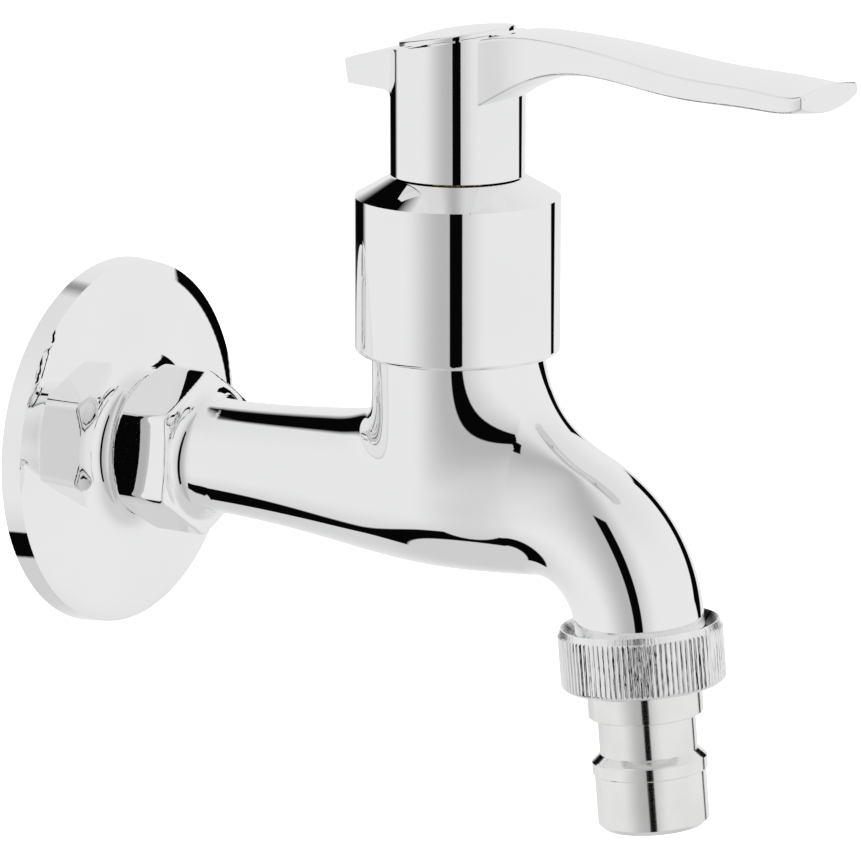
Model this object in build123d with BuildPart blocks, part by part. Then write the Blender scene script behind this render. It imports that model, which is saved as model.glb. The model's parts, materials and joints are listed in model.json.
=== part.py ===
from build123d import *
import math
import os

os.makedirs("parts", exist_ok=True)

# A wall-mounted half-inch bib tap with a quarter-turn lever and a quick-connect hose tail.
# Millimetres. The origin is the centre of the wall face, +Z is up, the tap points along -Y,
# and the whole tap is symmetrical about x = 0 when its lever points forward.

# ---- driving dimensions ----
pitch = 1.814                 # G1/2 thread
thread_r = 10.42              # G1/2 crest radius
root_r = 9.32                 # G1/2 root radius
running = 0.05                # radial clearance of a running fit

flange_r = 30.8
flange_edge_r = 30.45
flange_rim = 3.55
flange_front = -8.3           # y of the front of the rosette's neck
flange_neck_r = 12.2
flange_bore_r = 10.6
spigot_end = 12.5             # y of the inlet spigot's end, inside the wall

hex_across = 24.6
hex_back = -8.9
hex_front = -19.6
hex_corner_r = 13.9           # the hexagon's corners are turned down to this
hex_collar_r = 11.4           # plain collar behind the hexagon
root_end = -23.2              # y where the hexagon's flared root meets the tube
hex_turn = -4.5

valve_y = -68.75              # the valve axis
tower_r = 13.8
tower_top = 28.0
tower_foot = -3.0             # the tower starts at this height, inside the tube
junction_r = 9.0              # fillet where the tower meets the tube
chamber_r = 9.4
seat_z = 2.0
seat_hole_r = 4.8

bend_start = -84.6            # y where the spout starts to turn down
bend_r = 18.6
outlet_lean = 5.37            # degrees from the vertical

cover_r = 16.5
cover_bottom = 23.2
cover_shoulder = 48.5
cover_top = 51.75

hub_r = 10.83
hub_bottom = 52.05
hub_top = 73.65               # height of the hub's sloping top on the valve axis
top_slope = 10.2              # degrees, rising towards the lever
cap_r = 9.4
lever_tip = -136.0
tail_end = -51.7
arm_half = 7.0                # half width of the tail and of the lever's root

stem_r = 4.5
spline_r = 3.9
spline_count = 20
screw_r = 2.5

nut_r = 13.2
nut_height = 10.05
knurl_count = 96
knurl_depth = 0.26
tail_bore_r = 5.4

# ---- planes and axes ----
inlet_axis = Axis((0, 0, 0), (0, -1, 0))
inlet_section = Plane(origin=(0, 0, 0), x_dir=(1, 0, 0), z_dir=(0, 0, 1))
valve_axis = Axis((0, valve_y, 0), (0, 0, 1))
valve_section = Plane.XZ.offset(-valve_y)


def valve_level(height):
    """The horizontal plane at this height, centred on the valve axis."""
    return Plane(origin=(0, valve_y, height))


turn = math.radians(90 - outlet_lean)
down = (0, -math.sin(math.radians(outlet_lean)), -math.cos(math.radians(outlet_lean)))
outlet_top = (0, bend_start - bend_r * math.sin(turn), -bend_r * (1 - math.cos(turn)))
outlet_axis = Axis(outlet_top, down)
outlet_section = Plane(origin=outlet_top, x_dir=(1, 0, 0), z_dir=(0, -down[2], down[1]))
outlet_plane = Plane(origin=outlet_top, x_dir=(1, 0, 0), z_dir=down)

on_axis = (Align.NONE, Align.NONE, Align.MIN)
slope = math.radians(top_slope)
cap_up = (0, math.sin(slope), math.cos(slope))
cap_origin = (0, valve_y, hub_top)
cap_section = Plane(origin=cap_origin, x_dir=(1, 0, 0), z_dir=(0, -cap_up[2], cap_up[1]))
cap_axis = Axis(cap_origin, cap_up)
cap_plane = Plane(origin=cap_origin, x_dir=(1, 0, 0), z_dir=cap_up)


def bend_plane(angle):
    """A plane across the spout, this many degrees round its bend."""
    a = math.radians(angle)
    centre = (0, bend_start - bend_r * math.sin(a), -bend_r * (1 - math.cos(a)))
    return Plane(origin=centre, x_dir=(1, 0, 0), z_dir=(0, -math.cos(a), -math.sin(a)))


def thread_outline(start, end, inner):
    """(radius, distance) points of a thread's crests and roots, closed at the inner radius."""
    points = [(inner, start), (root_r, start)]
    for i in range(int((end - start) / pitch)):
        foot = start + i * pitch
        points.append((root_r, foot + 0.25 * pitch))
        points.append((thread_r, foot + 0.5 * pitch))
        points.append((thread_r, foot + 0.65 * pitch))
        points.append((root_r, foot + 0.9 * pitch))
    points.append((root_r, end))
    points.append((inner, end))
    return points


def spline_outline(clearance):
    """Corner points of the spindle's splined head."""
    points = []
    for i in range(2 * spline_count):
        r = spline_r + clearance - (0.45 if i % 2 else 0.0)
        a = math.pi * i / spline_count
        points.append((r * math.cos(a), r * math.sin(a)))
    return points


# ---- wall flange ----
# radius and y where the bell's cone meets its neck and its rounded rim
cone_start = (16.5, -5.2)
cone_end = (26.5, -4.3)
cone_way = (cone_end[0] - cone_start[0], cone_end[1] - cone_start[1])
with BuildPart() as wall_flange:
    with BuildSketch(inlet_section):
        with BuildLine():
            neck = Polyline((flange_bore_r, 0), (flange_bore_r, flange_front), (flange_neck_r, flange_front))
            flare = Spline(neck @ 1, cone_start, tangents=((0.1, 1), cone_way))
            cone = Line(flare @ 1, cone_end)
            shoulder = Spline(cone @ 1, (flange_edge_r, -flange_rim), tangents=(cone_way, (1, 0.34)))
            Polyline(shoulder @ 1, (flange_r, 0), (flange_r - 1.6, 0), (flange_r - 1.9, -2.2),
                     (13.5, -3.0), (13.5, 0), (flange_bore_r, 0))
        make_face()
    revolve(axis=inlet_axis)
wall_flange.part.label = "wall_flange"
export_step(wall_flange.part, "parts/wall_flange.step")

# ---- tap body ----
# tube sections: y, half width, half height; spout sections: degrees round the bend, radius
tube = [(-19.0, 9.3, 9.3), (-30.0, 9.6, 9.6), (-44.0, 10.75, 10.65), (-57.0, 12.7, 11.9),
        (-69.0, 14.1, 12.3)]
spout = [(0, 11.5), (30, 10.8), (60, 10.5)]
spout_end_r = 10.35
outlet_thread = 1.2           # start of the outlet's thread, measured down from the nut's top
outlet_face = 5.2             # outlet's end face, measured the same way
inlet_bore_r = 6.3
low_bore_r = 4.9
low_bore_z = -4.8
# waterway sections from the valve chamber to the bend: y, z, radius
waterway = [(-74.0, 8.4, 3.6), (-80.0, 5.0, 4.5), (bend_start, 1.6, 5.4)]

with BuildPart() as tap_body:
    # hexagon, with its corners turned down
    with BuildSketch(Plane.XZ.offset(-hex_back)):
        RegularPolygon(hex_across / 2, 6, major_radius=False, rotation=30 + hex_turn)
    extrude(amount=hex_back - hex_front)
    with BuildSketch(inlet_section):
        with BuildLine():
            Polyline((0, hex_back), (hex_across / 2, hex_back), (hex_corner_r, hex_back - 1.2),
                     (hex_corner_r, hex_front + 0.35), (hex_across / 2, hex_front), (0, hex_front),
                     close=True)
        make_face()
    revolve(axis=inlet_axis, mode=Mode.INTERSECT)
    # collar behind the hexagon and flared root in front of it
    with BuildSketch(inlet_section):
        with BuildLine():
            collar = Polyline((0, flange_front), (hex_collar_r, flange_front), (hex_collar_r, hex_front))
            root = ThreePointArc(collar @ 1, (9.85, -21.1), (tube[0][1], root_end))
            Polyline(root @ 1, (0, root_end), (0, flange_front))
        make_face()
    revolve(axis=inlet_axis)
    # tube and spout
    for y, half_width, half_height in tube:
        with BuildSketch(Plane.XZ.offset(-y)):
            Ellipse(half_width, half_height)
    for angle, r in spout:
        with BuildSketch(bend_plane(angle)):
            Circle(r)
    for distance in (0, outlet_thread):
        with BuildSketch(outlet_plane.offset(distance)):
            Circle(spout_end_r)
    loft()
    # valve tower, blended into the tube by one fillet round the junction
    with BuildSketch(valve_section):
        with BuildLine():
            Polyline((0, tower_foot), (tower_r - 3, tower_foot), (tower_r, tower_foot + 3),
                     (tower_r, tower_top), (0, tower_top), close=True)
        make_face()
    revolve(axis=valve_axis)
    around_tower = tap_body.edges().filter_by(GeomType.BSPLINE).filter_by_position(Axis.Y, -90, -45)
    fillet(around_tower, radius=junction_r)
    # threaded inlet spigot
    with BuildSketch(inlet_section):
        with BuildLine():
            spigot = [(r, -y) for r, y in thread_outline(-spigot_end, -flange_front, 0)]
            Polyline(*spigot, close=True)
        make_face()
    revolve(axis=inlet_axis)
    # threaded outlet
    with BuildSketch(outlet_section):
        with BuildLine():
            Polyline(*thread_outline(outlet_thread, outlet_face, 0), close=True)
        make_face()
    revolve(axis=outlet_axis)
    # inlet passage: a straight bore that drops below the seat
    with BuildSketch(Plane.XZ.offset(-spigot_end)):
        Circle(inlet_bore_r)
    extrude(amount=spigot_end + 50, mode=Mode.SUBTRACT)
    with BuildSketch(Plane.XZ.offset(50)):
        Circle(inlet_bore_r)
    with BuildSketch(Plane.XZ.offset(58)):
        with Locations((0, low_bore_z)):
            Circle(low_bore_r)
    loft(mode=Mode.SUBTRACT)
    with BuildSketch(Plane.XZ.offset(58)):
        with Locations((0, low_bore_z)):
            Circle(low_bore_r)
    extrude(amount=13.5, mode=Mode.SUBTRACT)
    # seat hole, valve chamber, gallery and the tower's threaded mouth
    with BuildSketch(valve_section):
        with BuildLine():
            Polyline((0, low_bore_z), (seat_hole_r, low_bore_z), (seat_hole_r, seat_z), (chamber_r, seat_z),
                     (chamber_r, 8.6), (11.0, 9.6), (11.0, 15.4), (10.5, 16.2), (10.5, 26.0), (11.35, 26.0),
                     (11.35, tower_top - 0.4), (11.75, tower_top), (0, tower_top), close=True)
        make_face()
    revolve(axis=valve_axis, mode=Mode.SUBTRACT)
    # outlet passage
    for y, z, r in waterway:
        with BuildSketch(Plane.XZ.offset(-y)):
            with Locations((0, z)):
                Circle(r)
    for angle in (30, 60):
        with BuildSketch(bend_plane(angle)):
            Circle(7.0)
    for distance in (0, outlet_face):
        with BuildSketch(outlet_plane.offset(distance)):
            Circle(7.2)
    loft(mode=Mode.SUBTRACT)
tap_body.part.label = "tap_body"
export_step(tap_body.part, "parts/tap_body.step")

# ---- bonnet cover ----
cover_wall = 1.5
neck_r = 8.0
collar_r = neck_r + 0.2
with BuildPart() as bonnet_cover:
    with BuildSketch(valve_section):
        with BuildLine():
            Polyline((cover_r - cover_wall, cover_bottom), (cover_r, cover_bottom),
                     (cover_r, cover_shoulder), (hub_r, cover_top), (collar_r, cover_top),
                     (collar_r, 40.5), (10.3, 40.5),
                     (10.3, cover_shoulder), (cover_r - cover_wall, cover_shoulder - 2.6), close=True)
        make_face()
    revolve(axis=valve_axis)
    bottom_edges = bonnet_cover.edges().filter_by(GeomType.CIRCLE).group_by(Axis.Z)[0]
    fillet(bottom_edges.sort_by(SortBy.RADIUS)[-1], radius=0.9)
bonnet_cover.part.label = "bonnet_cover"
export_step(bonnet_cover.part, "parts/bonnet_cover.step")

# ---- valve headwork ----
sleeve_r = 9.2
sleeve_bore_r = 8.0
sleeve_end = 2.7              # height of the sleeve's open end
sleeve_thread_start = 17.0
sleeve_thread_end = 25.2
shoulder_z = 19.3
neck_top = 46.0
spanner_bottom = tower_top + 0.6
spanner_top = tower_top + 9
spanner_across = 22.0
window_z = 13.0
fixed_disc_bottom = 4.5
disc_height = 3.0
moving_disc_bottom = 7.52     # the discs run 0.02 mm apart
disc_r = 7.8
disc_top = 10.5
port_r = 6.0                  # the discs' ports are fans of this radius and angle
port_angle = 76
port_offset = 0.6             # the fans' points stand this far off the axis
splines_bottom = 50.2
tapped_bottom = 50.0
ring_minor = 0.54             # section radii of the rubber rings
ring_large_minor = 0.74
stem_ring_heights = (27.65, 33.65)
stem_groove_r = 3.4
clip_groove_r = 3.9
# the stop and the lug leave the spindle a quarter turn; degrees anticlockwise from +X
stop_start = 222
stop_angle = 90
lug_start = -42
lug_angle = 170
with BuildPart() as cartridge_body:
    thread = thread_outline(sleeve_thread_start, sleeve_thread_end, stem_r + running)
    with BuildSketch(valve_section):
        with BuildLine():
            Polyline((stem_r + running, shoulder_z), (sleeve_bore_r, shoulder_z),
                     (sleeve_bore_r, sleeve_end), (sleeve_r, sleeve_end), (sleeve_r, sleeve_thread_start),
                     *thread[1:-1],
                     (9.75, sleeve_thread_end), (9.75, spanner_bottom), (12.4, spanner_bottom),
                     (12.4, spanner_top - 1), (10.6, spanner_top), (neck_r, spanner_top), (neck_r, 42.7),
                     (6.65, 42.7), (6.65, 44.3), (neck_r, 44.3),
                     (neck_r, neck_top - 0.4), (neck_r - 0.4, neck_top), (stem_r + running, neck_top),
                     close=True)
        make_face()
    revolve(axis=valve_axis)
    # spanner hexagon
    with BuildSketch(valve_level(spanner_bottom)):
        Circle(spanner_across)
        RegularPolygon(spanner_across / 2, 6, major_radius=False, mode=Mode.SUBTRACT)
    extrude(amount=spanner_top + 1 - spanner_bottom, mode=Mode.SUBTRACT)
    # two outlet windows
    with Locations((0, valve_y, window_z)):
        Box(9.0, 30.0, 4.0, mode=Mode.SUBTRACT)
    # quarter-turn stop inside the sleeve
    with Locations((0, valve_y, 15.6)):
        with Locations(Rotation(0, 0, stop_start)):
            Cylinder(sleeve_bore_r + 0.3, 3.0, arc_size=stop_angle, align=on_axis)
        Cylinder(6.7, 3.0, align=(Align.CENTER, Align.CENTER, Align.MIN), mode=Mode.SUBTRACT)
cartridge_body.part.label = "cartridge_body"
export_step(cartridge_body.part, "parts/cartridge_body.step")

with BuildPart() as spindle:
    with BuildSketch(valve_section):
        with BuildLine():
            Polyline((0, 12.0), (4.0, 12.0), (6.4, 15.7), (6.4, 18.4), (stem_r, 18.4), (stem_r, 27.0),
                     (stem_groove_r, 27.0), (stem_groove_r, 28.3), (stem_r, 28.3), (stem_r, 33.0),
                     (stem_groove_r, 33.0), (stem_groove_r, 34.3), (stem_r, 34.3), (stem_r, 46.15),
                     (clip_groove_r, 46.15), (clip_groove_r, 47.05), (stem_r, 47.05), (stem_r, 49.0),
                     (spline_r - 0.6, splines_bottom), (0, splines_bottom), close=True)
        make_face()
    revolve(axis=valve_axis)
    # splined head
    with BuildSketch(valve_level(splines_bottom)):
        Polygon(*spline_outline(0), align=None)
    extrude(amount=13.4)
    # drive dog that turns the upper disc
    with Locations((0, valve_y, 9.4)):
        Box(12.4, 3.0, 3.4, align=(Align.CENTER, Align.CENTER, Align.MIN))
    # stop lug
    with Locations((0, valve_y, 15.7)):
        with Locations(Rotation(0, 0, lug_start)):
            Cylinder(7.6, 2.7, arc_size=lug_angle, align=on_axis)
    # tapped hole for the handle screw
    with BuildSketch(valve_level(tapped_bottom)):
        Circle(screw_r + running)
    extrude(amount=14, mode=Mode.SUBTRACT)
spindle.part.label = "spindle"
export_step(spindle.part, "parts/spindle.step")


def ring_sketch(height, major, minor):
    """Half section of a round rubber ring about the valve axis."""
    with BuildSketch(valve_section) as section:
        with Locations((major, height)):
            Circle(minor)
    return section.sketch


with BuildPart() as spindle_o_rings:
    for height in stem_ring_heights:
        add(ring_sketch(height, stem_groove_r + ring_minor + 0.02, ring_minor))
    revolve(axis=valve_axis)
spindle_o_rings.part.label = "spindle_o_rings"
export_step(spindle_o_rings.part, "parts/spindle_o_rings.step")

with BuildPart() as body_o_ring:
    add(ring_sketch(27.2, 10.55, ring_large_minor))
    revolve(axis=valve_axis)
body_o_ring.part.label = "body_o_ring"
export_step(body_o_ring.part, "parts/body_o_ring.step")

with BuildPart() as cover_o_ring:
    add(ring_sketch(43.5, 7.43, ring_large_minor))
    revolve(axis=valve_axis)
cover_o_ring.part.label = "cover_o_ring"
export_step(cover_o_ring.part, "parts/cover_o_ring.step")

with BuildPart() as thrust_washer:
    with BuildSketch(valve_level(18.5)):
        Circle(6.4)
        Circle(stem_r + 0.1, mode=Mode.SUBTRACT)
    extrude(amount=0.7)
thrust_washer.part.label = "thrust_washer"
export_step(thrust_washer.part, "parts/thrust_washer.step")

with BuildPart() as retaining_clip:
    with BuildSketch(valve_level(46.25)):
        Circle(6.2)
        Circle(clip_groove_r + running, mode=Mode.SUBTRACT)
        with Locations((6, 0)):
            Rectangle(8, 4.6, mode=Mode.SUBTRACT)
    extrude(amount=0.7)
retaining_clip.part.label = "retaining_clip"
export_step(retaining_clip.part, "parts/retaining_clip.step")

with BuildPart() as fixed_disc:
    with BuildSketch(valve_level(fixed_disc_bottom)):
        Circle(sleeve_bore_r - 0.1)
    extrude(amount=disc_height)
    with Locations((0, valve_y, fixed_disc_bottom)):
        with PolarLocations(port_offset, 2, start_angle=0):
            with Locations(Rotation(0, 0, -port_angle / 2)):
                Cylinder(port_r, disc_height, arc_size=port_angle, align=on_axis, mode=Mode.SUBTRACT)
fixed_disc.part.label = "fixed_disc"
export_step(fixed_disc.part, "parts/fixed_disc.step")

with BuildPart() as moving_disc:
    with BuildSketch(valve_level(moving_disc_bottom)):
        Circle(disc_r)
    extrude(amount=disc_top - moving_disc_bottom)
    with Locations((0, valve_y, moving_disc_bottom)):
        with PolarLocations(port_offset, 2, start_angle=90):
            with Locations(Rotation(0, 0, -port_angle / 2)):
                Cylinder(port_r, disc_height, arc_size=port_angle, align=on_axis, mode=Mode.SUBTRACT)
    with Locations((0, valve_y, disc_top)):
        Box(12.6, 3.2, 2.4, mode=Mode.SUBTRACT)
moving_disc.part.label = "moving_disc"
export_step(moving_disc.part, "parts/moving_disc.step")

with BuildPart() as seat_seal:
    with BuildSketch(valve_section):
        with BuildLine():
            Polyline((5.2, seat_z), (7.6, seat_z), (7.9, seat_z + 0.8), (7.9, fixed_disc_bottom),
                     (5.2, fixed_disc_bottom), close=True)
        make_face()
    revolve(axis=valve_axis)
seat_seal.part.label = "seat_seal"
export_step(seat_seal.part, "parts/seat_seal.step")

with BuildPart() as seal_support_ring:
    with BuildSketch(valve_level(seat_z + 0.2)):
        Circle(5.15)
        Circle(4.3, mode=Mode.SUBTRACT)
    extrude(amount=2.3)
seal_support_ring.part.label = "seal_support_ring"
export_step(seal_support_ring.part, "parts/seal_support_ring.step")

# ---- handle ----
# lever sections: y, half width, top edge, crown above it, bottom edge, belly below it
lever = [(-73.0, 6.9, 74.4, 0.02, 64.0, 0.3), (-79.0, 6.7, 75.4, 0.1, 65.6, 0.7),
         (-84.5, 6.0, 75.75, 0.5, 68.7, 0.9), (-90.0, 6.1, 75.5, 0.7, 70.45, 0.8),
         (-97.0, 6.7, 74.9, 0.7, 70.95, 0.8), (-107.0, 7.7, 73.55, 0.7, 69.95, 0.8),
         (-117.0, 8.4, 72.35, 0.7, 69.1, 0.9), (-127.0, 8.6, 71.8, 0.7, 68.9, 1.1),
         (lever_tip, 8.6, 71.75, 0.7, 69.8, 1.7)]
root_fillet = 1.2
lever_edge = 0.5
tail_edge = 0.35
tail_line = [(tail_end, 70.0), (-56.0, 71.3), (-64.0, 72.79)]
tail_front = valve_y + 7      # the tail's edges on the hub lie behind this
boss_r = 6.2
recess_r = 6.4
socket_top = 64.4
socket_clearance = 0.08
screw_seat = 67.4


def lies_on_hub(edge):
    """Whether this edge runs along the hub's round side."""
    reach = [math.hypot((edge @ t).X, (edge @ t).Y - valve_y) for t in (0, 0.5, 1)]
    return all(abs(r - hub_r) < 0.02 for r in reach)


with BuildPart() as handle:
    # hub under its sloping top
    with BuildSketch(valve_level(hub_bottom)):
        Circle(hub_r)
    extrude(amount=hub_top + 4 - hub_bottom)
    split(bisect_by=cap_plane, keep=Keep.BOTTOM)
    # lever
    for y, half, top, crown, bottom, belly in lever:
        with BuildSketch(Plane.XZ.offset(-y)):
            with BuildLine():
                ThreePointArc((-half, top), (0, top + crown), (half, top))
                Line((half, top), (half, bottom))
                ThreePointArc((half, bottom), (0, bottom - belly), (-half, bottom))
                Line((-half, bottom), (-half, top))
            make_face()
    loft()
    # counter-tail
    with BuildSketch(Plane.YZ.offset(-arm_half)):
        with BuildLine():
            tail_top = Spline(*tail_line)
            Polyline(tail_top @ 1, (tail_line[-1][0], 65.3), (tail_end - 0.6, 66.1), tail_top @ 0)
        make_face()
    extrude(amount=2 * arm_half)
    # soften the lever's long edges and tip, and the tail's root and corners
    long_edges = handle.edges().filter_by(lambda e: e.length > 40 and e.geom_type == GeomType.BSPLINE)
    tip_edges = handle.edges().filter_by_position(Axis.Y, lever_tip - 0.1, lever_tip + 0.1)
    fillet(long_edges + tip_edges, radius=lever_edge)
    tail_root = [e for e in handle.edges() if lies_on_hub(e) and e.center().Y > tail_front]
    tail_root = [e for e in tail_root if e.geom_type == GeomType.LINE or e.center().Z < 68]
    fillet(tail_root, radius=root_fillet)
    tail_corners = handle.edges().filter_by_position(Axis.Y, tail_end - 1, tail_end + 0.1)
    fillet(tail_corners, radius=tail_edge)
    # hollow underside round the splined boss
    with BuildSketch(valve_section):
        with BuildLine():
            Polyline((0, hub_bottom), (hub_r - 2.0, hub_bottom), (hub_r - 2.0, 62.0), (boss_r, 62.0),
                     (boss_r, hub_bottom + 0.8), (0, hub_bottom + 0.8), close=True)
        make_face()
    revolve(axis=valve_axis, mode=Mode.SUBTRACT)
    with BuildSketch(valve_level(hub_bottom)):
        Polygon(*spline_outline(socket_clearance), align=None)
    extrude(amount=socket_top - hub_bottom, mode=Mode.SUBTRACT)
    # screw hole and the recess that the cap plugs
    with BuildSketch(valve_section):
        with BuildLine():
            Polyline((0, socket_top), (screw_r + 0.2, socket_top), (screw_r + 0.2, screw_seat),
                     (recess_r, screw_seat), (recess_r, hub_top + 4), (0, hub_top + 4), close=True)
        make_face()
    revolve(axis=valve_axis, mode=Mode.SUBTRACT)
handle.part.label = "handle"
export_step(handle.part, "parts/handle.step")

cap_gap = 0.25                # shadow gap between the cap and the hub
with BuildPart() as handle_cap:
    with BuildSketch(cap_section):
        with BuildLine():
            edge = Polyline((0, cap_gap), (4.7, cap_gap), (4.7, -2.4), (5.5, -2.4), (5.5, cap_gap),
                            (cap_r, cap_gap), (cap_r, 0.95))
            dome = ThreePointArc(edge @ 1, (cap_r * 0.55, 1.65), (0, 1.9))
            Line(dome @ 1, edge @ 0)
        make_face()
    revolve(axis=cap_axis)
    rim = handle_cap.edges().filter_by(GeomType.CIRCLE).sort_by(SortBy.RADIUS)[-2:]
    fillet(rim, radius=0.3)
handle_cap.part.label = "handle_cap"
export_step(handle_cap.part, "parts/handle_cap.step")

with BuildPart() as handle_screw:
    with BuildSketch(valve_section):
        with BuildLine():
            Polyline((0, 51.5), (screw_r - 0.6, 51.5), (screw_r, 52.3), (screw_r, screw_seat),
                     (4.6, screw_seat), (4.6, screw_seat + 1.6))
            dome = ThreePointArc((4.6, screw_seat + 1.6), (2.6, screw_seat + 2.6), (0, screw_seat + 2.9))
            Line(dome @ 1, (0, 51.5))
        make_face()
    revolve(axis=valve_axis)
    # cross recess
    with Locations((0, valve_y, screw_seat + 3)):
        Box(5.0, 1.1, 3.2, mode=Mode.SUBTRACT)
        Box(1.1, 5.0, 3.2, mode=Mode.SUBTRACT)
handle_screw.part.label = "handle_screw"
export_step(handle_screw.part, "parts/handle_screw.step")

# ---- outlet: nut, gasket and hose tail ----
# distances along the outlet axis, down from the nut's top
nut_lip = 8.4                 # top of the nut's inward lip
tail_flange_top = 6.95
tail_flange_r = 10.3
tail_collar_r = 9.22
tail_collar_end = 14.9
tail_neck_r = 7.84
tail_ring_start = 21.75
tail_ring_r = 9.22
tail_ring_end = 24.0
spigot_r = 8.92
tail_end_distance = 32.9

with BuildPart() as union_nut:
    # ribbed blank
    with BuildSketch(outlet_plane):
        ribs = []
        for i in range(knurl_count):
            a = 360 * i / knurl_count
            step = 360 / knurl_count
            for share, r in ((0, nut_r - knurl_depth), (0.3, nut_r), (0.7, nut_r)):
                angle = math.radians(a + share * step)
                ribs.append((r * math.cos(angle), r * math.sin(angle)))
        Polygon(*ribs, align=None)
    extrude(amount=nut_height)
    # turned outline: smooth bevelled mouth, threaded bore, lip and rounded foot
    with BuildSketch(outlet_section):
        with BuildLine():
            Polyline((thread_r + 0.15, nut_lip), (thread_r + 0.15, 1.9), (12.2, 0.25), (12.5, 0), (12.75, 0),
                     (nut_r - knurl_depth, 0.9), (nut_r + 0.1, 1.35), (nut_r + 0.1, nut_height - 1.3))
            foot = ThreePointArc((nut_r + 0.1, nut_height - 1.3), (nut_r - 0.25, nut_height - 0.45),
                                 (nut_r - 1.0, nut_height))
            Polyline(foot @ 1, (tail_collar_r + 0.2, nut_height), (tail_collar_r + 0.2, nut_lip),
                     (thread_r + 0.15, nut_lip))
        make_face()
    revolve(axis=outlet_axis, mode=Mode.INTERSECT)
union_nut.part.label = "union_nut"
export_step(union_nut.part, "parts/union_nut.step")

with BuildPart() as outlet_gasket:
    with BuildSketch(outlet_plane.offset(outlet_face)):
        Circle(10.2)
        Circle(6.6, mode=Mode.SUBTRACT)
    extrude(amount=tail_flange_top - outlet_face)
outlet_gasket.part.label = "outlet_gasket"
export_step(outlet_gasket.part, "parts/outlet_gasket.step")

with BuildPart() as hose_tail:
    with BuildSketch(outlet_section):
        with BuildLine():
            Polyline((tail_bore_r, tail_flange_top), (tail_flange_r, tail_flange_top),
                     (tail_flange_r, nut_lip), (tail_collar_r, nut_lip),
                     (tail_collar_r, tail_collar_end - 0.3),
                     (tail_collar_r - 0.3, tail_collar_end), (tail_neck_r, tail_collar_end + 0.15),
                     (tail_neck_r, tail_ring_start - 1.0), (tail_ring_r - 0.25, tail_ring_start),
                     (tail_ring_r, tail_ring_start + 0.25), (tail_ring_r, tail_ring_end - 0.15),
                     (tail_ring_r - 0.15, tail_ring_end), (spigot_r, tail_ring_end),
                     (spigot_r, tail_end_distance - 0.8), (spigot_r - 0.8, tail_end_distance),
                     (tail_bore_r + 0.6, tail_end_distance), (tail_bore_r, tail_end_distance - 0.6),
                     close=True)
        make_face()
    revolve(axis=outlet_axis)
hose_tail.part.label = "hose_tail"
export_step(hose_tail.part, "parts/hose_tail.step")
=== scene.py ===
import json
import math

import bpy
import numpy as np
from mathutils import Matrix, Vector


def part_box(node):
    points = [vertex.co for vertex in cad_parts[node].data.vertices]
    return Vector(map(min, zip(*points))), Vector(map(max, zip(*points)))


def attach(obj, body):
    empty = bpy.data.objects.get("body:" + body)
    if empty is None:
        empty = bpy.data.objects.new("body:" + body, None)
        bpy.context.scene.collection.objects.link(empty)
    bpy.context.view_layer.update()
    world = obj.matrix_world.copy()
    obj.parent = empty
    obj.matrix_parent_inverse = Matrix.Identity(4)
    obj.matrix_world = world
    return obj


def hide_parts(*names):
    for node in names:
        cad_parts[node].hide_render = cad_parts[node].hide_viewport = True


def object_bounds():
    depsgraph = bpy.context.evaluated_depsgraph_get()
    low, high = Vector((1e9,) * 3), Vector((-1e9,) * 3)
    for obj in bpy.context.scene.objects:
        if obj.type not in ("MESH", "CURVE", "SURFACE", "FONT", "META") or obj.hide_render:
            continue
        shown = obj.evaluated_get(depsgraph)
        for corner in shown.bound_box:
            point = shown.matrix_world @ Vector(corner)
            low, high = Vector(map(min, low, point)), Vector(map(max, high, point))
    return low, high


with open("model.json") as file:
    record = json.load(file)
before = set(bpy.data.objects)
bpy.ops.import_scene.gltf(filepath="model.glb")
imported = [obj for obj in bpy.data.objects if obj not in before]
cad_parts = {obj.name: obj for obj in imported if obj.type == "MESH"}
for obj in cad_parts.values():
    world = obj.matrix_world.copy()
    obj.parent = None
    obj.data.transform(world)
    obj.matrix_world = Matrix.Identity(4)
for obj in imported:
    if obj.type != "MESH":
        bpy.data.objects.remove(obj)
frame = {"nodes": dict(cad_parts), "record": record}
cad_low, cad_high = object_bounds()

# Metres and degrees, in the CAD frame: wall face at y = 0, tap pointing along -Y, +Z up.
scene = bpy.context.scene
nodes = frame["nodes"]

CAMERA_AZIMUTH = -57.01       # 0 looks along +Y, negative looks from the -X side
CAMERA_ELEVATION = 12.98
CAMERA_DISTANCE = 0.8909
CAMERA_LENS = 230.84
SENSOR = 36.0
# where the camera looks: ahead of the wall and above the tube's axis
LOOK_AT = Vector((0.0, -0.063585, 0.009365))

FLOOR_DROP = 0.09             # floor below the lowest point of the tap
FLOOR_SIZE = 12.0

OUTLET_LEAN = math.radians(5.37)  # the outlet's lean from the vertical
OUTLET_DOWN = (0.0, -math.sin(OUTLET_LEAN), -math.cos(OUTLET_LEAN))
OUTLET_AHEAD = (0.0, -math.cos(OUTLET_LEAN), math.sin(OUTLET_LEAN))


# ---- camera ----
def direction_back(azimuth, elevation):
    a, e = math.radians(azimuth), math.radians(elevation)
    return Vector((math.sin(a) * math.cos(e), -math.cos(a) * math.cos(e), math.sin(e)))


def add_camera():
    data = bpy.data.cameras.new("camera")
    data.sensor_width = SENSOR
    data.lens = CAMERA_LENS
    data.clip_start = 0.01
    data.clip_end = 50.0
    camera = bpy.data.objects.new("camera", data)
    scene.collection.objects.link(camera)
    back = direction_back(CAMERA_AZIMUTH, CAMERA_ELEVATION)
    right = Vector((math.cos(math.radians(CAMERA_AZIMUTH)), math.sin(math.radians(CAMERA_AZIMUTH)), 0))
    up = back.cross(right)
    turn = Matrix((right, up, back)).transposed().to_4x4()
    camera.matrix_world = Matrix.Translation(LOOK_AT + back * CAMERA_DISTANCE) @ turn
    scene.camera = camera


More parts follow.
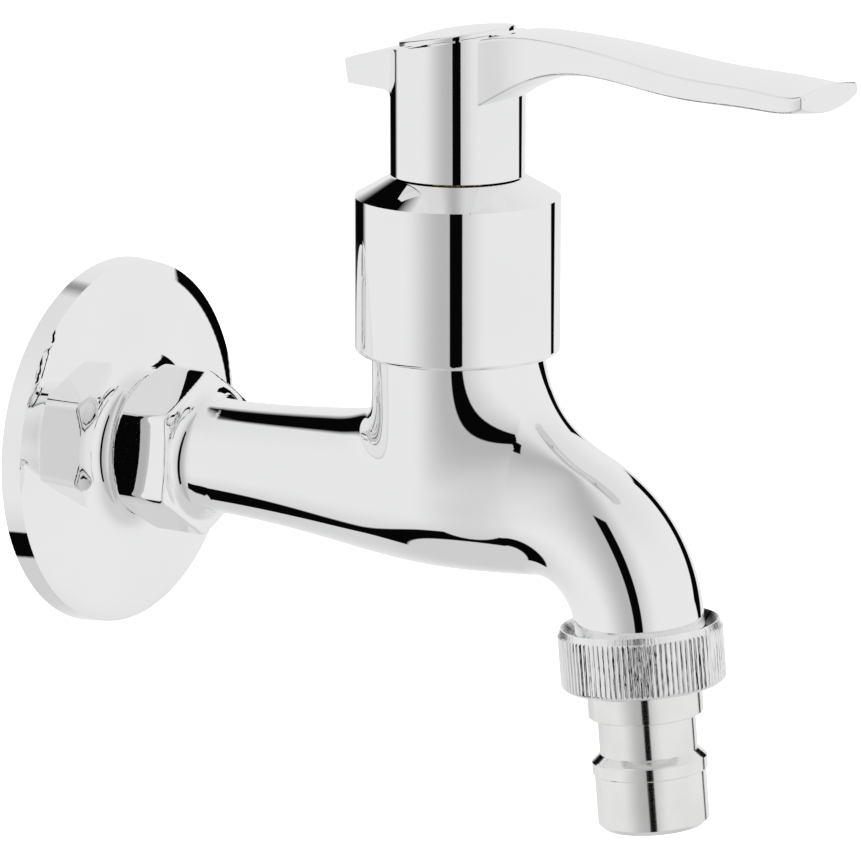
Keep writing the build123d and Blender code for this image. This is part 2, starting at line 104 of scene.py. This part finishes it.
# ---- node helpers ----
class Tree:
    """Adds shader nodes in the order that they are wired."""

    def __init__(self, tree):
        self.tree = tree
        self.tree.nodes.clear()

    def add(self, kind, inputs=(), **settings):
        """A node with these settings. Each input is (socket name or number, value or output socket)."""
        n = self.tree.nodes.new(kind)
        for key, value in settings.items():
            setattr(n, key, value)
        for socket, value in inputs:
            if isinstance(value, bpy.types.NodeSocket):
                self.tree.links.new(value, n.inputs[socket])
            else:
                n.inputs[socket].default_value = value
        return n

    def math(self, operation, a, b=0.0, clamp=False):
        return self.add("ShaderNodeMath", [(0, a), (1, b)], operation=operation, use_clamp=clamp).outputs[0]

    def ramp(self, value, stops, interpolation="LINEAR"):
        """A grey ramp through (position, grey) stops."""
        n = self.add("ShaderNodeValToRGB", [(0, value)])
        n.color_ramp.interpolation = interpolation
        elements = n.color_ramp.elements
        while len(elements) > 1:
            elements.remove(elements[-1])
        elements[0].position = stops[0][0]
        elements[0].color = colour(stops[0][1])
        for position, grey in stops[1:]:
            elements.new(position).color = colour(grey)
        return n.outputs[0]

    def mix(self, factor, a, b):
        """Mixes two colours."""
        n = self.add("ShaderNodeMix", data_type="RGBA")
        for socket, value in ((0, factor), (6, a), (7, b)):
            if isinstance(value, bpy.types.NodeSocket):
                self.tree.links.new(value, n.inputs[socket])
            else:
                n.inputs[socket].default_value = value
        return n.outputs[2]

    def map_range(self, value, low, high, to_low=0.0, to_high=1.0, smooth=False):
        n = self.add("ShaderNodeMapRange", [(0, value), (1, low), (2, high), (3, to_low), (4, to_high)])
        n.interpolation_type = "SMOOTHSTEP" if smooth else "LINEAR"
        n.clamp = True
        return n.outputs[0]


def colour(value):
    """An RGBA colour from a grey level or an (r, g, b) triple."""
    if isinstance(value, (int, float)):
        return (value, value, value, 1.0)
    return (*value, 1.0)


# ---- studio: a plain white surround with four dark cards ----
# Directions are in degrees: azimuth anticlockwise from +X, height above the horizon.
LENS_AZIMUTH = CAMERA_AZIMUTH + 270.0
# screen greys that the plating shows for each part of the surround
WALLS = 0.9
CEILING = 0.85
TABLE = 0.8
SHADED_SIDE = 0.7
BLACK = 0.02
SHADE_AZIMUTH = LENS_AZIMUTH - 15.0
SHADE_SPREAD = 50.0           # half width of the soft shade beside the lens
CEILING_RISE = (20.0, 80.0)   # heights over which the walls fade into the ceiling
TABLE_DROP = (-20.0, -60.0)   # and into the table
# Each card is (azimuth, height, width, length, lean, softness of its edges).
CARDS = {
    "lens_slot": (LENS_AZIMUTH - 3.0, 0.0, 14.0, 90.0, 5.0, 0.5),
    "side_card": (LENS_AZIMUTH + 140.0, 5.0, 20.0, 40.0, -45.0, 0.5),
    "back_card": (LENS_AZIMUTH - 145.0, 20.0, 35.0, 70.0, 0.0, 4.0),
    "table_edge": (LENS_AZIMUTH - 90.0, -50.0, 70.0, 12.0, 0.0, 0.5),
}


def linear(grey):
    """Scene brightness that shows as this screen grey on chrome."""
    return ((grey + 0.055) / 1.055) ** 2.4 / 0.93


def turn_from(t, turn, azimuth):
    """Degrees from this azimuth to the direction's own, between -180 and 180."""
    share = t.math("FRACT", t.math("ADD", turn, 1.5 - azimuth / 360))
    return t.math("MULTIPLY", t.math("SUBTRACT", share, 0.5), 360.0)


def card_mask(t, turn, height, card):
    """1 inside a leaning rectangular card and 0 outside it."""
    azimuth, level, width, length, lean, soft = card
    lean = math.radians(lean)
    across, up = turn_from(t, turn, azimuth), t.math("SUBTRACT", height, level)
    inside = None
    for size, a, b in ((width, math.cos(lean), math.sin(lean)), (length, -math.sin(lean), math.cos(lean))):
        offset = t.math("ABSOLUTE", t.math("ADD", t.math("MULTIPLY", across, a), t.math("MULTIPLY", up, b)))
        side = t.map_range(offset, size / 2 + soft, size / 2 - soft)
        inside = side if inside is None else t.math("MULTIPLY", inside, side)
    return inside


def add_studio():
    world = bpy.data.worlds.new("studio")
    world.use_nodes = True
    scene.world = world
    t = Tree(world.node_tree)
    direction = t.add("ShaderNodeTexCoord").outputs["Generated"]
    parts = t.add("ShaderNodeSeparateXYZ", [(0, direction)])
    turn = t.math("DIVIDE", t.math("ARCTAN2", parts.outputs[1], parts.outputs[0]), 2 * math.pi)
    height = t.math("MULTIPLY", t.math("ARCSINE", parts.outputs[2]), 180 / math.pi)
    above = t.map_range(height, *CEILING_RISE, smooth=True)
    below = t.map_range(height, *TABLE_DROP, smooth=True)
    aside = t.math("ABSOLUTE", turn_from(t, turn, SHADE_AZIMUTH))
    shade = t.map_range(aside, SHADE_SPREAD, 0.0, smooth=True)
    grey = t.mix(above, colour(linear(WALLS)), colour(linear(CEILING)))
    grey = t.mix(below, grey, colour(linear(TABLE)))
    grey = t.mix(shade, grey, colour(linear(SHADED_SIDE)))
    for card in CARDS.values():
        grey = t.mix(card_mask(t, turn, height, card), grey, colour(linear(BLACK)))
    seen = t.add("ShaderNodeLightPath").outputs["Is Camera Ray"]
    shown = t.mix(seen, grey, colour(1.0))
    background = t.add("ShaderNodeBackground", [("Color", shown), ("Strength", 1.0)])
    t.add("ShaderNodeOutputWorld", [("Surface", background.outputs[0])])


def add_floor():
    bpy.ops.mesh.primitive_grid_add(x_subdivisions=8, y_subdivisions=8, size=FLOOR_SIZE,
                                    location=(0, LOOK_AT.y, cad_low.z - FLOOR_DROP))
    floor = bpy.context.object
    floor.name = "floor"
    floor.visible_glossy = False
    material = bpy.data.materials.new("pale_floor")
    material.use_nodes = True
    t = Tree(material.node_tree)
    grain = t.add("ShaderNodeTexNoise", [("Scale", 30.0), ("Detail", 4.0)])
    tone = t.ramp(grain.outputs[0], [(0.3, 0.93), (0.7, 0.97)])
    shader = t.add("ShaderNodeBsdfPrincipled", [("Base Color", tone), ("Roughness", 0.9),
                                                ("Emission Color", colour(1.0)), ("Emission Strength", 0.35)])
    t.add("ShaderNodeOutputMaterial", [("Surface", shader.outputs[0])])
    floor.data.materials.append(material)


def add_overhead():
    """A large soft light above, which lights the floor and leaves no highlight on the plating."""
    data = bpy.data.lights.new("overhead", "AREA")
    data.shape = "RECTANGLE"
    data.size = 3.0
    data.size_y = 3.0
    data.energy = 60.0
    lamp = bpy.data.objects.new("overhead", data)
    scene.collection.objects.link(lamp)
    lamp.location = (0, LOOK_AT.y, 2.4)
    lamp.visible_glossy = False
    lamp.visible_camera = False


# ---- materials ----
def start_material(name):
    material = bpy.data.materials.new(name)
    material.use_nodes = True
    return material, Tree(material.node_tree)


def finish_material(t, inputs):
    shader = t.add("ShaderNodeBsdfPrincipled", inputs)
    t.add("ShaderNodeOutputMaterial", [("Surface", shader.outputs[0])])


def noise(t, vector, scale, detail=3.0, roughness=0.5):
    n = t.add("ShaderNodeTexNoise", [("Vector", vector), ("Scale", scale), ("Detail", detail),
                                     ("Roughness", roughness)])
    return n.outputs[0]


def bump(t, height, strength, distance, normal=None):
    inputs = [("Height", height), ("Strength", strength), ("Distance", distance)]
    if normal is not None:
        inputs.append(("Normal", normal))
    return t.add("ShaderNodeBump", inputs).outputs[0]


def object_place(t):
    return t.add("ShaderNodeTexCoord").outputs["Object"]


def along_axis(t, place, axis):
    """How far a place lies along an axis."""
    return t.add("ShaderNodeVectorMath", [(0, place), (1, axis)], operation="DOT_PRODUCT").outputs["Value"]


def chrome():
    """Mirror-polished plate: faint buffing waves and a patchy haze."""
    material, t = start_material("mirror_chrome")
    place = object_place(t)
    tone = t.ramp(noise(t, place, 35.0), [(0.3, (0.93, 0.932, 0.937)), (0.7, (0.96, 0.96, 0.962))])
    haze = t.map_range(noise(t, place, 260.0, 6.0, 0.6), 0.35, 0.7, 0.0, 0.025)
    waves = bump(t, noise(t, place, 55.0, 1.0), 0.2, 0.00002)
    grain = bump(t, noise(t, place, 1800.0, 2.0), 0.04, 0.00001, waves)
    finish_material(t, [("Base Color", tone), ("Metallic", 1.0), ("Roughness", haze), ("Normal", grain)])
    return material


def satin_nickel():
    """Turned and plated: fine tool marks run round the outlet axis."""
    material, t = start_material("satin_nickel")
    place = object_place(t)
    marks_at = t.add("ShaderNodeCombineXYZ", [(0, along_axis(t, place, OUTLET_DOWN))]).outputs[0]
    marks = noise(t, marks_at, 5200.0, 3.0, 0.7)
    drift = noise(t, place, 160.0, 4.0)
    tone = t.ramp(drift, [(0.3, (0.86, 0.855, 0.845)), (0.7, (0.93, 0.925, 0.92))])
    rough = t.map_range(marks, 0.3, 0.7, 0.05, 0.16)
    cut = bump(t, marks, 0.3, 0.00002)
    finish_material(t, [("Base Color", tone), ("Metallic", 1.0), ("Roughness", rough), ("Normal", cut)])
    return material


def knurled():
    """Plate over rolled knurling: uneven ridges run along the nut, round the outlet axis."""
    material, t = start_material("knurled_plate")
    place = object_place(t)
    nut_low, nut_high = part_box("union_nut")
    middle = (nut_low + nut_high) / 2
    local = t.add("ShaderNodeVectorMath", [(0, place), (1, tuple(middle))], operation="SUBTRACT").outputs[0]
    side = t.add("ShaderNodeSeparateXYZ", [(0, local)]).outputs[0]
    angle = t.math("ARCTAN2", along_axis(t, local, OUTLET_AHEAD), side)
    stretched = t.math("MULTIPLY", along_axis(t, local, OUTLET_DOWN), 4.0)
    round_the_nut = t.add("ShaderNodeCombineXYZ", [(0, angle), (1, stretched)]).outputs[0]
    ridges = noise(t, round_the_nut, 40.0, 2.0, 0.6)
    tone = t.ramp(noise(t, place, 300.0), [(0.3, (0.88, 0.882, 0.887)), (0.7, (0.95, 0.95, 0.952))])
    haze = t.map_range(ridges, 0.35, 0.7, 0.02, 0.09)
    cut = bump(t, ridges, 0.5, 0.00016)
    finish_material(t, [("Base Color", tone), ("Metallic", 1.0), ("Roughness", haze), ("Normal", cut)])
    return material


def turned_metal(name, dark, light, smooth, rough, ring_scale):
    """Machined stock: rings about the valve axis and a mottled tone."""
    material, t = start_material(name)
    place = object_place(t)
    parts = t.add("ShaderNodeSeparateXYZ", [(0, place)])
    rings_at = t.add("ShaderNodeCombineXYZ", [(2, parts.outputs[2])]).outputs[0]
    rings = noise(t, rings_at, ring_scale, 3.0, 0.7)
    tone = t.ramp(noise(t, place, 240.0, 5.0), [(0.3, dark), (0.7, light)])
    haze = t.map_range(rings, 0.3, 0.7, smooth, rough)
    cut = bump(t, rings, 0.4, 0.00003)
    finish_material(t, [("Base Color", tone), ("Metallic", 1.0), ("Roughness", haze), ("Normal", cut)])
    return material


def moulded(name, dark, light, smooth, rough, grain_scale, grain_depth):
    """Plastic, rubber, fibre or ceramic: a grained skin with a little drift in tone."""
    material, t = start_material(name)
    place = object_place(t)
    grain = noise(t, place, grain_scale, 4.0, 0.6)
    tone = t.ramp(noise(t, place, 120.0, 4.0), [(0.3, dark), (0.7, light)])
    haze = t.map_range(grain, 0.3, 0.7, smooth, rough)
    skin = bump(t, grain, 0.3, grain_depth)
    finish_material(t, [("Base Color", tone), ("Metallic", 0.0), ("Roughness", haze), ("Normal", skin)])
    return material


# ---- tap body: the whole casting as one smooth surface ----
# Millimetres in the CAD frame; "reach" is the distance out from the wall.
VALVE_Y = -68.75
TOWER_R = 13.8
TOWER_TOP = 28.0
TOWER_FOOT = -8.0
BLEND_LOW, BLEND_HIGH = -6.0, 6.0  # heights between which the tower's blend fades in
BEND_START = 84.6             # reach at which the spout starts to turn down
BEND_R = 18.6
JUNCTION_REAR, JUNCTION_FRONT = 8.0, 26.0  # reach of the tower's blend behind and ahead of the valve
SPIGOT_END = -12.5
SPIGOT_FRONT = 8.3
HEX_ACROSS = 24.6
HEX_TURN = -4.5               # degrees
HEX_BACK, HEX_FRONT = 8.9, 19.6
HEX_CORNER_R = 13.9
HEX_ROUND = 0.45              # rounding of the hexagon's edges
# the hexagon's end chamfers: (fall for each millimetre out, length of the slope's normal)
FRONT_CHAMFER = (0.22, 1.024)
BACK_CHAMFER = (0.75, 1.25)
TUBE_START, ROOT_END = 17.0, 24.5
ROOT_BLEND, HEX_BLEND, EDGE_BLEND = 0.8, 0.5, 0.3
BORE_R, BORE_END = 6.3, 50.0
LOW_BORE_END = 71.5
THREAD_PITCH = 1.814
THREAD_ROOT, THREAD_CREST = 9.32, 10.42
OUTLET_THREAD = 1.2           # start of the outlet's thread, down its axis
OUTLET_FACE = 5.2
BEND_TURN = math.pi / 2 - OUTLET_LEAN
BEND_END = BEND_START + BEND_R * BEND_TURN
# sections along the centre line: (distance, half width), (distance, half height)
SPOUT_END = [(94.3, 10.8), (104.1, 10.5), (112.1, 10.35), (120, 10.35)]
HALF_WIDTH = [(16, 9.2), (30, 9.6), (44, 10.75), (57, 12.7), (69, 14.1), (BEND_START, 11.55), *SPOUT_END]
HALF_HEIGHT = [(16, 9.2), (30, 9.6), (44, 10.65), (57, 11.9), (69, 12.3), (BEND_START, 11.5), *SPOUT_END]
# the tower's radius, drawn in below the tube's axis: (height, radius)
TOWER = [(-8, 8.0), (-4, 11.4), (0, 13.2), (4, 13.75), (8, TOWER_R), (18, TOWER_R), (TOWER_TOP, TOWER_R)]
# the flare from the hexagon to the tube: (reach, radius)
ROOT = [(19.4, 11.4), (20.2, 10.5), (21.1, 9.85), (22.1, 9.5), (23.2, 9.34), (25, 9.1)]
# the valve chamber: (height, radius)
CHAMBER = [(-4.8, 4.8), (2.0, 4.8), (2.01, 9.4), (8.6, 9.4), (9.6, 11.0), (15.4, 11.0), (16.2, 10.5),
           (26.0, 10.5), (26.01, 11.35), (27.6, 11.35), (28.4, 12.1)]
# the bore under the valve: (reach, height, radius)
LOW_BORE = [(50, 0.0, 6.3), (58, -4.8, 4.9), (71.5, -4.8, 4.9)]
# the way out to the outlet: (distance, height off the centre line, radius)
WATERWAY = [(74, 8.4, 3.6), (80, 5.0, 4.5), (BEND_START, 1.6, 5.4), (94.3, 0.0, 7.0), (104.1, 0.0, 7.0),
            (120, 0.0, 7.2)]


def smooth_curve(stops):
    """A natural cubic spline through (x, value) stops, sampled finely for np.interp."""
    x, v = np.array(stops, float).T
    n = len(x)
    gap = np.diff(x)
    matrix = np.eye(n)
    right = np.zeros(n)
    for i in range(1, n - 1):
        matrix[i, i - 1:i + 2] = gap[i - 1], 2 * (gap[i - 1] + gap[i]), gap[i]
        right[i] = 6 * ((v[i + 1] - v[i]) / gap[i] - (v[i] - v[i - 1]) / gap[i - 1])
    bend = np.linalg.solve(matrix, right)
    at = np.linspace(x[0], x[-1], 1500)
    i = np.clip(np.searchsorted(x, at) - 1, 0, n - 2)
    a, b = (x[i + 1] - at) / gap[i], (at - x[i]) / gap[i]
    value = a * v[i] + b * v[i + 1] + ((a ** 3 - a) * bend[i] + (b ** 3 - b) * bend[i + 1]) * gap[i] ** 2 / 6
    return at, value


def straight_curve(stops, column=1):
    table = np.array(stops, float)
    return table[:, 0], table[:, column]


WIDTH_CURVE, HEIGHT_CURVE = smooth_curve(HALF_WIDTH), smooth_curve(HALF_HEIGHT)
TOWER_CURVE, ROOT_CURVE = smooth_curve(TOWER), smooth_curve(ROOT)


def smooth_min(a, b, reach):
    """The lesser of two fields, blended where they are within this reach of each other."""
    h = np.clip(1 - np.abs(a - b) / np.maximum(reach, 1e-6), 0, 1)
    return np.minimum(a, b) - h ** 3 * reach / 6


def smooth_max(a, b, reach):
    return -smooth_min(-a, -b, reach)


def thread_radius(distance):
    """Thread radius at this distance past the thread's start."""
    turn = np.mod(distance / THREAD_PITCH, 1.0)
    return np.interp(turn, (0, 0.25, 0.5, 0.65, 0.9, 1),
                     (THREAD_ROOT, THREAD_ROOT, THREAD_CREST, THREAD_CREST, THREAD_ROOT, THREAD_ROOT))


def along_spout(y, z):
    """Distance along the centre line, height off it, and the line's own slope angle."""
    ahead, rise = -y - BEND_START, z + BEND_R
    turned = np.arctan2(ahead, rise)
    angle = np.where(ahead > 0, turned, 0.0)
    distance = np.where(ahead > 0, BEND_START + BEND_R * angle, -y)
    off = np.where(ahead > 0, np.hypot(ahead, rise) - BEND_R, z)
    past = (ahead > 0) & (turned > BEND_TURN)
    past |= (ahead > 0) & (rise < 0)
    past_bend = ahead * math.cos(BEND_TURN) - rise * math.sin(BEND_TURN)
    off_axis = ahead * math.sin(BEND_TURN) + rise * math.cos(BEND_TURN) - BEND_R
    distance = np.where(past, BEND_END + past_bend, distance)
    off = np.where(past, off_axis, off)
    return distance, off, np.where(past, BEND_TURN, angle)


def radial_field(u, v, half_u, half_v):
    """Distance to an ellipse measured along the ray from its centre."""
    length = np.hypot(u, v)
    scaled = np.maximum(np.hypot(u / half_u, v / half_v), 1e-4)
    return length - length / scaled


def tube_field(x, off, distance):
    """The tube and spout with the outlet's thread, and the half width and height of their section."""
    half_u = np.interp(distance, *WIDTH_CURVE)
    half_v = np.interp(distance, *HEIGHT_CURVE)
    threaded = distance - BEND_END - OUTLET_THREAD
    on_thread = threaded > 0
    half_u = np.where(on_thread, thread_radius(threaded), half_u)
    half_v = np.where(on_thread, half_u, half_v)
    tube = radial_field(x, off, half_u, half_v)
    tube = np.maximum(np.maximum(tube, TUBE_START - distance), distance - BEND_END - OUTLET_FACE)
    return tube, half_u, half_v


def junction_reach(x, y, z, off, angle, half_u, half_v):
    """How far the tower blends into the tube: more where their walls stand crosswise, and less low down."""
    from_valve = np.hypot(x, y - VALVE_Y)
    nu, nv = x / half_u ** 2, off / half_v ** 2
    along = x * nu - (y - VALVE_Y) * np.sin(angle) * nv
    along = along / np.maximum(from_valve * np.hypot(nu, nv), 1e-6)
    ahead = np.clip(0.5 + 0.5 * (VALVE_Y - y) / np.maximum(from_valve, 1e-6), 0, 1)
    raised = np.clip((z - BLEND_LOW) / (BLEND_HIGH - BLEND_LOW), 0, 1)
    raised = raised ** 2 * (3 - 2 * raised)
    return (JUNCTION_REAR + (JUNCTION_FRONT - JUNCTION_REAR) * ahead) * np.clip(1 - along, 0, 1) * raised


def hexagon_field(x, z, reach):
    about = np.hypot(x, z)
    flats = []
    for k in range(3):
        a = math.radians(60 * k + HEX_TURN)
        flats.append(np.abs(x * math.cos(a) + z * math.sin(a)))
    prism = smooth_max(smooth_max(flats[0], flats[1], HEX_ROUND), flats[2], HEX_ROUND) - HEX_ACROSS / 2
    prism = smooth_max(prism, about - HEX_CORNER_R, HEX_ROUND)
    over = about - HEX_ACROSS / 2
    front = (reach - HEX_FRONT + FRONT_CHAMFER[0] * over) / FRONT_CHAMFER[1]
    back = (HEX_BACK + BACK_CHAMFER[0] * over - reach) / BACK_CHAMFER[1]
    ends = np.maximum(np.maximum(reach - HEX_FRONT, front), np.maximum(HEX_BACK - reach, back))
    return smooth_max(prism, ends, HEX_ROUND)


def hollow_field(x, z, reach, off, distance, from_valve):
    """The waterway: inlet bore, low bore, valve chamber and the way to the outlet."""
    bore = np.maximum(np.hypot(x, z) - BORE_R, reach - BORE_END)
    low = np.hypot(x, z - np.interp(reach, *straight_curve(LOW_BORE)))
    low = low - np.interp(reach, *straight_curve(LOW_BORE, 2))
    low = np.maximum(low, np.maximum(BORE_END - reach, reach - LOW_BORE_END))
    chamber = np.maximum(from_valve - np.interp(z, *straight_curve(CHAMBER)), CHAMBER[0][0] - z)
    way = np.hypot(x, off - np.interp(distance, *straight_curve(WATERWAY)))
    way = np.maximum(way - np.interp(distance, *straight_curve(WATERWAY, 2)), WATERWAY[0][0] - distance)
    return np.minimum(np.minimum(bore, low), np.minimum(chamber, way))


def casting_field(x, y, z):
    """Negative inside the metal, in millimetres near the surface."""
    reach = -y
    about = np.hypot(x, z)
    from_valve = np.hypot(x, y - VALVE_Y)
    distance, off, angle = along_spout(y, z)
    tube, half_u, half_v = tube_field(x, off, distance)
    tower = np.maximum(from_valve - np.interp(z, *TOWER_CURVE), TOWER_FOOT - z)
    metal = smooth_min(tube, tower, junction_reach(x, y, z, off, angle, half_u, half_v))
    metal = np.maximum(metal, z - TOWER_TOP)
    root_ends = np.maximum(SPIGOT_FRONT - reach, reach - ROOT_END)
    root = np.maximum(about - np.interp(reach, *ROOT_CURVE), root_ends)
    metal = smooth_min(metal, root, ROOT_BLEND)
    metal = smooth_min(metal, hexagon_field(x, z, reach), HEX_BLEND)
    spigot = about - thread_radius(reach - SPIGOT_END)
    spigot_ends = np.maximum(SPIGOT_END - reach, reach - SPIGOT_FRONT - 1)
    metal = np.minimum(metal, smooth_max(spigot, spigot_ends, EDGE_BLEND))
    hollow = hollow_field(x, z, reach, off, distance, from_valve)
    return smooth_max(metal, -hollow, EDGE_BLEND)


def field_slope(field, points, step=0.03):
    """The field's slope at each point, from four points round it."""
    slope = np.zeros_like(points)
    for corner in ((1, 1, 1), (1, -1, -1), (-1, 1, -1), (-1, -1, 1)):
        way = np.array(corner, float)
        slope += field(*(points + way * step).T)[:, None] * way / (4 * step)
    return slope


def sample(field, axes, skip=3, margin=2.4):
    """The field on a grid, exact near its surface and only its nearest coarse value elsewhere."""
    coarse = field(*np.meshgrid(*[a[::skip] for a in axes], indexing="ij"))
    nearest = [np.minimum((np.arange(len(a)) + skip // 2) // skip, n - 1) for a, n in zip(axes, coarse.shape)]
    values = coarse[np.ix_(*nearest)]
    at = np.argwhere(np.abs(values) < margin)
    values[tuple(at.T)] = field(*[axes[k][at[:, k]] for k in range(3)])
    return values


def surface_net(field, axes):
    """Vertices and quads of a field's zero surface on a grid, drawn on to the surface."""
    values = sample(field, axes)
    inside = values < 0
    keys, points, quads = [], [], []
    for a in range(3):
        low, high = [slice(None)] * 3, [slice(None)] * 3
        low[a], high[a] = slice(None, -1), slice(1, None)
        at = np.argwhere(inside[tuple(low)] != inside[tuple(high)])
        after = at.copy()
        after[:, a] += 1
        f0, f1 = values[tuple(at.T)], values[tuple(after.T)]
        p = np.stack([axes[k][at[:, k]] for k in range(3)], 1)
        p[:, a] += f0 / (f0 - f1) * (axes[a][after[:, a]] - axes[a][at[:, a]])
        around = []
        for db, dc in ((-1, -1), (0, -1), (0, 0), (-1, 0)):
            cell = at.copy()
            cell[:, (a + 1) % 3] += db
            cell[:, (a + 2) % 3] += dc
            around.append(np.ravel_multi_index(cell.T, values.shape))
        ring = np.stack(around, 1)
        ring[f0 >= 0] = ring[f0 >= 0][:, ::-1]
        quads.append(ring)
        keys.append(ring.ravel())
        points.append(np.repeat(p, 4, axis=0))
    index = np.unique(np.concatenate(keys), return_inverse=True)[1]
    points = np.concatenate(points)
    count = np.bincount(index)
    verts = np.stack([np.bincount(index, weights=points[:, k]) / count for k in range(3)], 1)
    for _ in range(3):
        slope = field_slope(field, verts)
        size = np.maximum((slope ** 2).sum(1), 0.05)
        step = slope * (field(*verts.T) / size)[:, None]
        verts -= np.clip(step, -0.2, 0.2)
    return verts, index.reshape(-1, 4)


def add_field_piece(name, field, axes):
    """A mesh of the field's surface, in metres, shaded with the field's own slope."""
    verts, quads = surface_net(field, axes)
    slope = field_slope(field, verts, 0.06)
    slope /= np.maximum(np.linalg.norm(slope, axis=1), 1e-9)[:, None]
    mesh = bpy.data.meshes.new(name)
    mesh.from_pydata((verts / 1000).tolist(), [], quads.tolist())
    mesh.polygons.foreach_set("use_smooth", [True] * len(mesh.polygons))
    mesh.normals_split_custom_set_from_vertices(slope.tolist())
    piece = bpy.data.objects.new(name, mesh)
    scene.collection.objects.link(piece)
    return piece


# the casting's grid: stretches of (start, end, step) across, in depth and in height
GRID = (
    [(-16.1, 16.2, 0.38)],
    [(-115.5, -24, 0.55), (-24, -4, 0.34), (-4, 13.6, 0.45)],
    [(-27, -15, 0.55), (-15, 15, 0.38), (15, 29, 0.5)],
)


def add_casting(plate):
    axes = [np.concatenate([np.arange(*stretch) for stretch in stretches]) for stretches in GRID]
    piece = add_field_piece("casting", casting_field, axes)
    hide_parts("tap_body")
    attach(piece, "body")
    piece.data.materials.append(plate)


def dress_nodes():
    plate = chrome()
    made = {
        "chrome_plate": plate,
        "satin_nickel": satin_nickel(),
        "brass": turned_metal("brass", (0.62, 0.45, 0.20), (0.80, 0.62, 0.32), 0.18, 0.34, 3500.0),
        "steel": turned_metal("steel", (0.50, 0.50, 0.52), (0.66, 0.66, 0.68), 0.22, 0.38, 4200.0),
        "ceramic": moulded("ceramic", (0.86, 0.84, 0.78), (0.94, 0.92, 0.87), 0.12, 0.24, 900.0, 0.00001),
        "rubber": moulded("rubber", (0.012, 0.012, 0.012), (0.035, 0.035, 0.036), 0.45, 0.7, 1400.0, 0.00003),
        "nylon": moulded("nylon", (0.78, 0.77, 0.72), (0.88, 0.87, 0.83), 0.35, 0.5, 1100.0, 0.00002),
        "fibre": moulded("fibre", (0.05, 0.05, 0.055), (0.13, 0.13, 0.14), 0.7, 0.9, 700.0, 0.00005),
    }
    slots = {row["node"]: row["material_slot"] for row in frame["record"]["subparts"]}
    for name, piece in nodes.items():
        for i in range(len(piece.material_slots)):
            piece.material_slots[i].material = made[slots[name]]
    nodes["union_nut"].material_slots[0].material = knurled()
    add_casting(plate)


scene.view_settings.view_transform = "Standard"
add_camera()
add_studio()
add_floor()
add_overhead()
dress_nodes()
